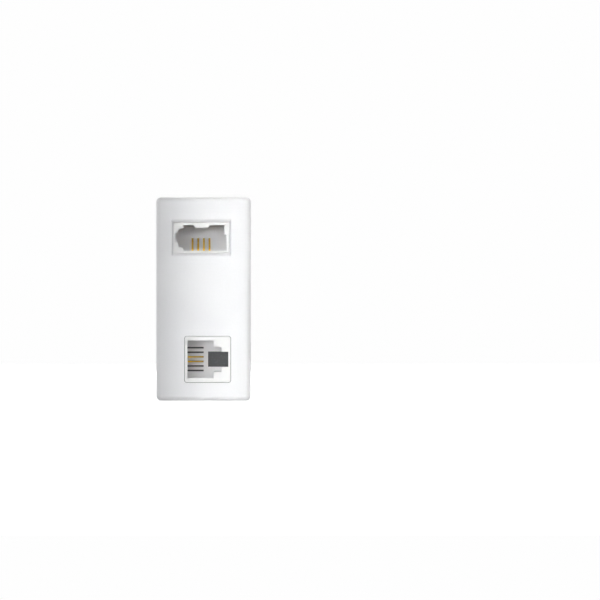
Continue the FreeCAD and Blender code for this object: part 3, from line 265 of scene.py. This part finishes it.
def enamelled_copper_winding():
    """Layers of enamelled copper wire, 0.2 mm thick, lying turn beside turn under a clear varnish."""
    material, tree, shader = begin("enamelled_copper_winding", metallic=1.0, coat_weight=0.6,
                                   coat_roughness=0.1)
    place = add(tree, "ShaderNodeTexCoord").outputs["Object"]
    turns = add(tree, "ShaderNodeTexWave", {"Scale": bands_per_mm(0.2), "Distortion": 0.2}, {"Vector": place},
                wave_type="BANDS", bands_direction="Y", wave_profile="SIN")
    # Painted shade and highlight: each turn's colour runs from dark brown in the groove between turns to
    # bright copper on its crown, along the same bands as the bump.
    tone = add(tree, "ShaderNodeValToRGB", links={"Fac": turns.outputs["Fac"]})
    tone.color_ramp.elements[0].color = linear("#6E2A12")
    tone.color_ramp.elements[1].color = linear("#C9692F")
    gloss = add(tree, "ShaderNodeMapRange", {"To Min": 0.4, "To Max": 0.24}, {"Value": turns.outputs["Fac"]})
    bump = add(tree, "ShaderNodeBump", {"Strength": 0.8, "Distance": 0.06 * MM},
               {"Height": turns.outputs["Fac"]})
    feed(tree, shader, base_color=tone.outputs["Color"], roughness=gloss.outputs["Result"],
         normal=bump.outputs["Normal"])
    return material


def sintered_ferrite():
    """Pressed and sintered ferrite: charcoal grey, dull, with fine open grain."""
    material, tree, shader = begin("sintered_ferrite", ior=2.3)
    place = add(tree, "ShaderNodeTexCoord").outputs["Object"]
    grain = add(tree, "ShaderNodeTexVoronoi", {"Scale": per_mm(0.18)}, {"Vector": place})
    cloud = add(tree, "ShaderNodeTexNoise", {"Scale": per_mm(1.2), "Detail": 5.0}, {"Vector": place})
    tint = add(tree, "ShaderNodeValToRGB", links={"Fac": cloud.outputs["Fac"]})
    tint.color_ramp.elements[0].color = linear("#2A2A2C")
    tint.color_ramp.elements[1].color = linear("#4A4A4D")
    dull = add(tree, "ShaderNodeMapRange", {"To Min": 0.55, "To Max": 0.75}, {"Value": cloud.outputs["Fac"]})
    bump = add(tree, "ShaderNodeBump", {"Strength": 0.3, "Distance": 0.02 * MM},
               {"Height": grain.outputs["Distance"]})
    feed(tree, shader, base_color=tint.outputs["Color"], roughness=dull.outputs["Result"],
         normal=bump.outputs["Normal"])
    return material


def potted_box():
    """Film capacitors in dark red moulded boxes, smooth with slight sink marks."""
    material, tree, shader = begin("potted_box", ior=1.55, coat_weight=0.1)
    place = add(tree, "ShaderNodeTexCoord").outputs["Object"]
    sink = add(tree, "ShaderNodeTexNoise", {"Scale": per_mm(3.5), "Detail": 2.0}, {"Vector": place})
    fine = add(tree, "ShaderNodeTexNoise", {"Scale": per_mm(0.3), "Detail": 3.0}, {"Vector": place})
    tint = add(tree, "ShaderNodeValToRGB", links={"Fac": sink.outputs["Fac"]})
    tint.color_ramp.elements[0].color = linear("#8E1F18")
    tint.color_ramp.elements[1].color = linear("#A62A20")
    gloss = add(tree, "ShaderNodeMapRange", {"To Min": 0.22, "To Max": 0.36}, {"Value": fine.outputs["Fac"]})
    bump = add(tree, "ShaderNodeBump", {"Strength": 0.2, "Distance": 0.05 * MM},
               {"Height": sink.outputs["Fac"]})
    feed(tree, shader, base_color=tint.outputs["Color"], roughness=gloss.outputs["Result"],
         normal=bump.outputs["Normal"])
    return material


def dipped_epoxy():
    """Disc capacitors dipped in ochre epoxy, which dries with a thick uneven skin."""
    material, tree, shader = begin("dipped_epoxy", ior=1.52, coat_weight=0.4, coat_roughness=0.08)
    place = add(tree, "ShaderNodeTexCoord").outputs["Object"]
    skin = add(tree, "ShaderNodeTexNoise", {"Scale": per_mm(1.1), "Detail": 2.0}, {"Vector": place})
    tint = add(tree, "ShaderNodeValToRGB", links={"Fac": skin.outputs["Fac"]})
    tint.color_ramp.elements[0].color = linear("#B4681E")
    tint.color_ramp.elements[1].color = linear("#CF8A34")
    gloss = add(tree, "ShaderNodeMapRange", {"To Min": 0.25, "To Max": 0.45}, {"Value": skin.outputs["Fac"]})
    bump = add(tree, "ShaderNodeBump", {"Strength": 0.5, "Distance": 0.1 * MM},
               {"Height": skin.outputs["Fac"]})
    feed(tree, shader, base_color=tint.outputs["Color"], roughness=gloss.outputs["Result"],
         normal=bump.outputs["Normal"])
    return material


def fired_thick_film():
    """Chip resistors: black fired glaze, smooth and a little uneven."""
    material, tree, shader = begin("fired_thick_film", ior=1.6)
    place = add(tree, "ShaderNodeTexCoord").outputs["Object"]
    glaze = add(tree, "ShaderNodeTexNoise", {"Scale": per_mm(0.5), "Detail": 3.0}, {"Vector": place})
    tint = add(tree, "ShaderNodeValToRGB", links={"Fac": glaze.outputs["Fac"]})
    tint.color_ramp.elements[0].color = linear("#161617")
    tint.color_ramp.elements[1].color = linear("#2A2A2C")
    gloss = add(tree, "ShaderNodeMapRange", {"To Min": 0.25, "To Max": 0.4}, {"Value": glaze.outputs["Fac"]})
    bump = add(tree, "ShaderNodeBump", {"Strength": 0.2, "Distance": 0.02 * MM},
               {"Height": glaze.outputs["Fac"]})
    feed(tree, shader, base_color=tint.outputs["Color"], roughness=gloss.outputs["Result"],
         normal=bump.outputs["Normal"])
    return material


def pad_printed_ink():
    """Black two-part ink printed on the case: satin, a little thin where the grain below stands up."""
    material, tree, shader = begin("pad_printed_ink", ior=1.5, specular_ior_level=0.2)
    place = add(tree, "ShaderNodeTexCoord").outputs["Object"]
    grit = add(tree, "ShaderNodeTexNoise", {"Scale": per_mm(0.3), "Detail": 4.0}, {"Vector": place})
    tint = add(tree, "ShaderNodeValToRGB", links={"Fac": grit.outputs["Fac"]})
    tint.color_ramp.elements[0].position, tint.color_ramp.elements[0].color = 0.35, linear("#161519")
    tint.color_ramp.elements[1].position, tint.color_ramp.elements[1].color = 0.75, linear("#26252A")
    dull = add(tree, "ShaderNodeMapRange", {"To Min": 0.55, "To Max": 0.7}, {"Value": grit.outputs["Fac"]})
    bump = add(tree, "ShaderNodeBump", {"Strength": 0.15, "Distance": 0.02 * MM},
               {"Height": grit.outputs["Fac"]})
    feed(tree, shader, base_color=tint.outputs["Color"], roughness=dull.outputs["Result"],
         normal=bump.outputs["Normal"])
    return material


def paper_sweep():
    """The white paper under the object: matt, and plain white to the camera except in shadow."""
    material, tree, shader = begin("paper_sweep", ior=1.45, roughness=0.9)
    own_light = 0.66
    place = add(tree, "ShaderNodeTexCoord").outputs["Object"]
    tooth = add(tree, "ShaderNodeTexNoise", {"Scale": per_mm(1.5), "Detail": 4.0}, {"Vector": place})
    tint = add(tree, "ShaderNodeValToRGB", links={"Fac": tooth.outputs["Fac"]})
    tint.color_ramp.elements[0].color = linear("#F2F2F2")
    tint.color_ramp.elements[1].color = linear("#F4F4F4")
    feed(tree, shader, base_color=tint.outputs["Color"])
    rays = add(tree, "ShaderNodeLightPath")
    seen = add(tree, "ShaderNodeMath", {1: own_light},
               {0: rays.outputs["Is Camera Ray"]}, operation="MULTIPLY")
    glow = add(tree, "ShaderNodeEmission", {"Color": linear("#FFFFFF")}, {"Strength": seen.outputs["Value"]})
    both = add(tree, "ShaderNodeAddShader", links={0: shader.outputs["BSDF"], 1: glow.outputs["Emission"]})
    output = next(node for node in tree.nodes if node.type == "OUTPUT_MATERIAL")
    tree.links.new(both.outputs["Shader"], output.inputs["Surface"])
    return material


def paint_nodes():
    """Give every carried-over node its material."""
    finishes = {
        spark_eroded_abs(): ["front_cover", "rear_shell"],
        polished_abs(): ["phone_socket_body", "data_socket_body"],
        moulded_polycarbonate(): ["line_plug_body", "plug_latch"],
        glass_filled_nylon_and_painted_shade(): ["data_contact_carrier"],
        gold_plated_bronze(): [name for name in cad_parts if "_contact_" in name and name[-1].isdigit()],
        solder_masked_laminate(): ["circuit_board"],
        moulded_phenolic(): ["left_choke_bobbin", "right_choke_bobbin"],
        enamelled_copper_winding(): ["left_choke_winding", "right_choke_winding"],
        sintered_ferrite(): [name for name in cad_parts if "_core_" in name],
        potted_box(): ["bell_capacitor", "film_capacitor"],
        dipped_epoxy(): ["ceramic_capacitor_1", "ceramic_capacitor_2"],
        fired_thick_film(): ["resistor_1", "resistor_2"],
    }
    for material, names in finishes.items():
        for name in names:
            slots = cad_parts[name].data.materials
            slots.clear()
            slots.append(material)


# The two printed marks on the side of the front cover: the height of their ink above the side, how far it
# reaches into the side, and the depth of the tools that cut it

INK = 0.02 * MM
BITE = 0.005 * MM
CUT = 1 * MM
INK_MIDDLE = SIDE + INK / 2 - BITE / 2


def spot(back, up):
    """A place on the cover's side, by its distance from the front face and from the bottom in mm."""
    return Vector((INK_MIDDLE, FRONT + back * MM, up * MM))


def lone(obj):
    """Select one object and nothing else."""
    bpy.ops.object.select_all(action="DESELECT")
    obj.select_set(True)
    bpy.context.view_layer.objects.active = obj


def settle(name):
    """Name the active object and put its place, turn and scale into its mesh."""
    obj = bpy.context.object
    obj.name = obj.data.name = name
    lone(obj)
    bpy.ops.object.transform_apply(location=True, rotation=True, scale=True)
    return obj


def dot(name, back, up, radius, depth=INK + BITE):
    """A flat round of ink."""
    bpy.ops.object.select_all(action="DESELECT")
    bpy.ops.mesh.primitive_cylinder_add(vertices=96, radius=radius * MM, depth=depth, location=spot(back, up),
                                        rotation=(0, pi / 2, 0))
    return settle(name)


def bar(name, back, up, wide, tall, depth=INK + BITE, corner=0.0):
    """A flat bar of ink, so wide from front to back and so tall, with rounded corners."""
    bpy.ops.object.select_all(action="DESELECT")
    bpy.ops.mesh.primitive_cube_add(size=1, location=spot(back, up), scale=(depth, wide * MM, tall * MM))
    obj = settle(name)
    if corner:
        bpy.ops.object.mode_set(mode="EDIT")
        bpy.ops.mesh.select_mode(type="EDGE")
        bpy.ops.mesh.select_all(action="DESELECT")
        mesh = bmesh.from_edit_mesh(obj.data)
        for edge in mesh.edges:
            first, second = (vertex.co for vertex in edge.verts)
            edge.select_set(abs((second - first).x) > depth / 2)
        bmesh.update_edit_mesh(obj.data)
        bpy.ops.mesh.bevel(offset=corner * MM, segments=8)
        bpy.ops.object.mode_set(mode="OBJECT")
    return obj


def combine(obj, other, operation):
    """Join or cut a mesh with another one, which is used up."""
    lone(obj)
    change = obj.modifiers.new("combine", "BOOLEAN")
    change.object = other
    change.operation = operation
    change.solver = "EXACT"
    bpy.ops.object.modifier_apply(modifier=change.name)
    lone(other)
    bpy.ops.object.delete()


def print_on_case(obj, material):
    """Finish a mark: ink, shaded flat with smooth outlines, fixed to the cover."""
    obj.data.materials.clear()
    obj.data.materials.append(material)
    lone(obj)
    bpy.ops.object.mode_set(mode="EDIT")
    bpy.ops.mesh.select_all(action="SELECT")
    bpy.ops.mesh.remove_doubles(threshold=0.0005 * MM)
    bpy.ops.mesh.normals_make_consistent(inside=False)
    bpy.ops.object.mode_set(mode="OBJECT")
    bpy.ops.object.shade_smooth_by_angle(angle=radians(30))
    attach(obj, "filter")


def handset_mark(material):
    """A crescent with two round ends, the plain sign for a telephone handset, beside the upper socket."""
    end_back, end_up, end_radius = 2.27, 3.115, 0.785
    middle = 40.85
    outer_back, outer_radius = 1.516, 3.989
    inner_back, inner_radius = 2.246, 2.33
    mark = dot("handset_mark", outer_back, middle, outer_radius)
    combine(mark, dot("inner_round", inner_back, middle, inner_radius, CUT), "DIFFERENCE")
    reach = 2 * outer_radius
    combine(mark, bar("front_half", end_back - reach / 2, middle, reach, 2 * reach, CUT), "DIFFERENCE")
    for way in (-1, 1):
        combine(mark, dot("round_end", end_back, middle + way * end_up, end_radius), "UNION")
    print_on_case(mark, material)


def wedge(name, back, up, reach, way):
    """A three-sided piece of ink that points up or down the case."""
    bpy.ops.object.select_all(action="DESELECT")
    bpy.ops.mesh.primitive_cylinder_add(vertices=3, radius=reach * MM, depth=INK + BITE,
                                        location=spot(back, up), rotation=(way * pi / 2, 0, pi / 2))
    return settle(name)


def data_mark(material):
    """A screen on its foot and two opposite arrows, the plain signs for data, read upwards along the case."""
    line = 0.42
    screen_top, screen_bottom, foot = 1.6, 3.55, 4.5
    screen_low, screen_high = 5.45, 9.35
    neck_width, foot_width = 0.7, 2.1
    middle = (screen_low + screen_high) / 2
    across, along = screen_bottom - screen_top, screen_high - screen_low
    mark = bar("data_mark", screen_top + across / 2, middle, across, along, corner=0.25)
    combine(mark, bar("glass", screen_top + across / 2, middle, across - 2 * line, along - 2 * line, CUT),
            "DIFFERENCE")
    combine(mark, bar("neck", (screen_bottom + foot - line) / 2, middle, foot - screen_bottom, neck_width),
            "UNION")
    combine(mark, bar("base", foot - line / 2, middle, line, foot_width), "UNION")
    shaft_low, shaft_high = 10.5, 15.1
    up_arrow, down_arrow = 2.3, 3.8
    head = 0.72
    for back, way in ((up_arrow, 1), (down_arrow, -1)):
        tip = shaft_high if way > 0 else shaft_low
        tail = shaft_low if way > 0 else shaft_high
        neck = tip - way * head
        combine(mark, bar("shaft", back, (tail + neck) / 2, line, abs(neck - tail)), "UNION")
        combine(mark, wedge("arrow_head", back, neck, head, way), "UNION")
    print_on_case(mark, material)


paint_nodes()
ink = pad_printed_ink()
handset_mark(ink)
data_mark(ink)


# Floor, lights, world and camera

def studio_floor():
    """A square of white paper that the object stands on."""
    bpy.ops.object.select_all(action="DESELECT")
    bpy.ops.mesh.primitive_plane_add(size=3.0, location=(0, 0, 0))
    floor = bpy.context.object
    floor.name = "studio_floor"
    floor.data.materials.append(paper_sweep())


def softbox(name, place, target, wide, tall, watts, spread=180):
    """A rectangular lamp that the camera doesn't see."""
    data = bpy.data.lights.new(name, "AREA")
    data.shape = "RECTANGLE"
    data.size, data.size_y = wide, tall
    data.energy = watts
    data.spread = radians(spread)
    lamp = bpy.data.objects.new(name, data)
    lamp.location = place
    lamp.rotation_euler = (Vector(target) - Vector(place)).to_track_quat("-Z", "Y").to_euler()
    lamp.visible_camera = False
    bpy.context.scene.collection.objects.link(lamp)


def studio_world(strength):
    """An even pale grey surround, white where the camera, gloss or clear plastic looks straight at it."""
    world = bpy.data.worlds.new("studio")
    bpy.context.scene.world = world
    world.use_nodes = True
    tree = world.node_tree
    tree.nodes.clear()
    rays = add(tree, "ShaderNodeLightPath")
    direct = add(tree, "ShaderNodeMath",
                 links={0: rays.outputs["Is Camera Ray"], 1: rays.outputs["Is Glossy Ray"]},
                 operation="MAXIMUM")
    seen = add(tree, "ShaderNodeMath",
               links={0: direct.outputs["Value"], 1: rays.outputs["Is Transmission Ray"]},
               operation="MAXIMUM")
    level = add(tree, "ShaderNodeMapRange", {"To Min": strength, "To Max": 1.0},
                {"Value": seen.outputs["Value"]})
    sky = add(tree, "ShaderNodeBackground", {"Color": linear("#FEFEFE")},
              {"Strength": level.outputs["Result"]})
    add(tree, "ShaderNodeOutputWorld", links={"Surface": sky.outputs["Background"]})


def camera():
    """A long lens square to the front, turned a little so that the object stands left of the middle.

    The picture is so many pixels wide, shows so many pixels for a millimetre of the front face, and has the
    middle of the case at the pixel given.
    """
    lens, sensor = 600.0, 36.0
    width, scale = 600, 3.82
    case_middle = (203.5, 298.9)
    distance = width / scale * MM * lens / sensor
    data = bpy.data.cameras.new("camera")
    data.lens, data.sensor_width = lens, sensor
    data.clip_start, data.clip_end = 0.05, 30.0
    view = bpy.data.objects.new("camera", data)
    view.location = (0, FRONT - distance, MIDDLE.z)
    aim = Vector(((width / 2 - case_middle[0]) / scale * MM, FRONT,
                  MIDDLE.z - (width / 2 - case_middle[1]) / scale * MM))
    view.rotation_euler = (aim - view.location).to_track_quat("-Z", "Y").to_euler()
    bpy.context.scene.collection.objects.link(view)
    bpy.context.scene.camera = view


def strip(name, target, aside, half_width, watts):
    """A tall narrow lamp with louvres, off to one side of its target.

    Its light falls off to nothing at half_width millimetres each side of the target, which gives a case with
    flat faces the soft bright bands of a rounded one.
    """
    lamp_width, lamp_height = 8 * MM, 300 * MM
    spread = 2 * degrees(atan(half_width * MM / Vector(aside).length))
    softbox(name, target + Vector(aside), target, lamp_width, lamp_height, watts, spread)


def studio_lights():
    """Narrow lamps for the bright bands of the front, the side and the plug, and soft ones all round."""
    front_band = Vector((6.2 * MM, FRONT, MIDDLE.z))
    side_band = Vector((SIDE, 5 * MM, MIDDLE.z))
    plug_band = Vector((SIDE, 26 * MM, MIDDLE.z))
    away = 0.4
    for across, up in ((-0.2, 0.0), (-0.14, 0.03), (-0.08, 0.01), (-0.02, 0.04), (0.04, 0.02)):
        strip("front_strip", front_band, (across, -away, up), 24, 0.0025)
    for across in (-0.14, -0.02):
        strip("high_strip", front_band, (across, -0.26, 0.31), 22, 0.0026)
    for across, up in ((-0.06, 0.03), (-0.1, 0.06)):
        strip("side_strip", side_band, (away, across, up), 18, 0.0054)
    strip("plug_strip", plug_band, (away, -0.066, 0.08), 15, 0.0038)
    centre = (0, 0, 0.03)
    softbox("front_fill", (-0.1, -1.6, 0.3), centre, 0.6, 0.6, 1.9)
    softbox("right", (0.9, 0.7, 0.4), centre, 0.5, 0.5, 1.0)
    softbox("rear_left", (-0.6, 0.7, 0.5), centre, 0.5, 0.5, 1.6)
    softbox("rear", (0.1, 1.0, 0.45), centre, 0.5, 0.5, 3.2)
    softbox("left", (-1.0, 0.15, 0.4), centre, 0.5, 0.5, 1.1)


studio_floor()
studio_world(0.3)
studio_lights()
camera()
bpy.context.scene.view_settings.view_transform = "Standard"
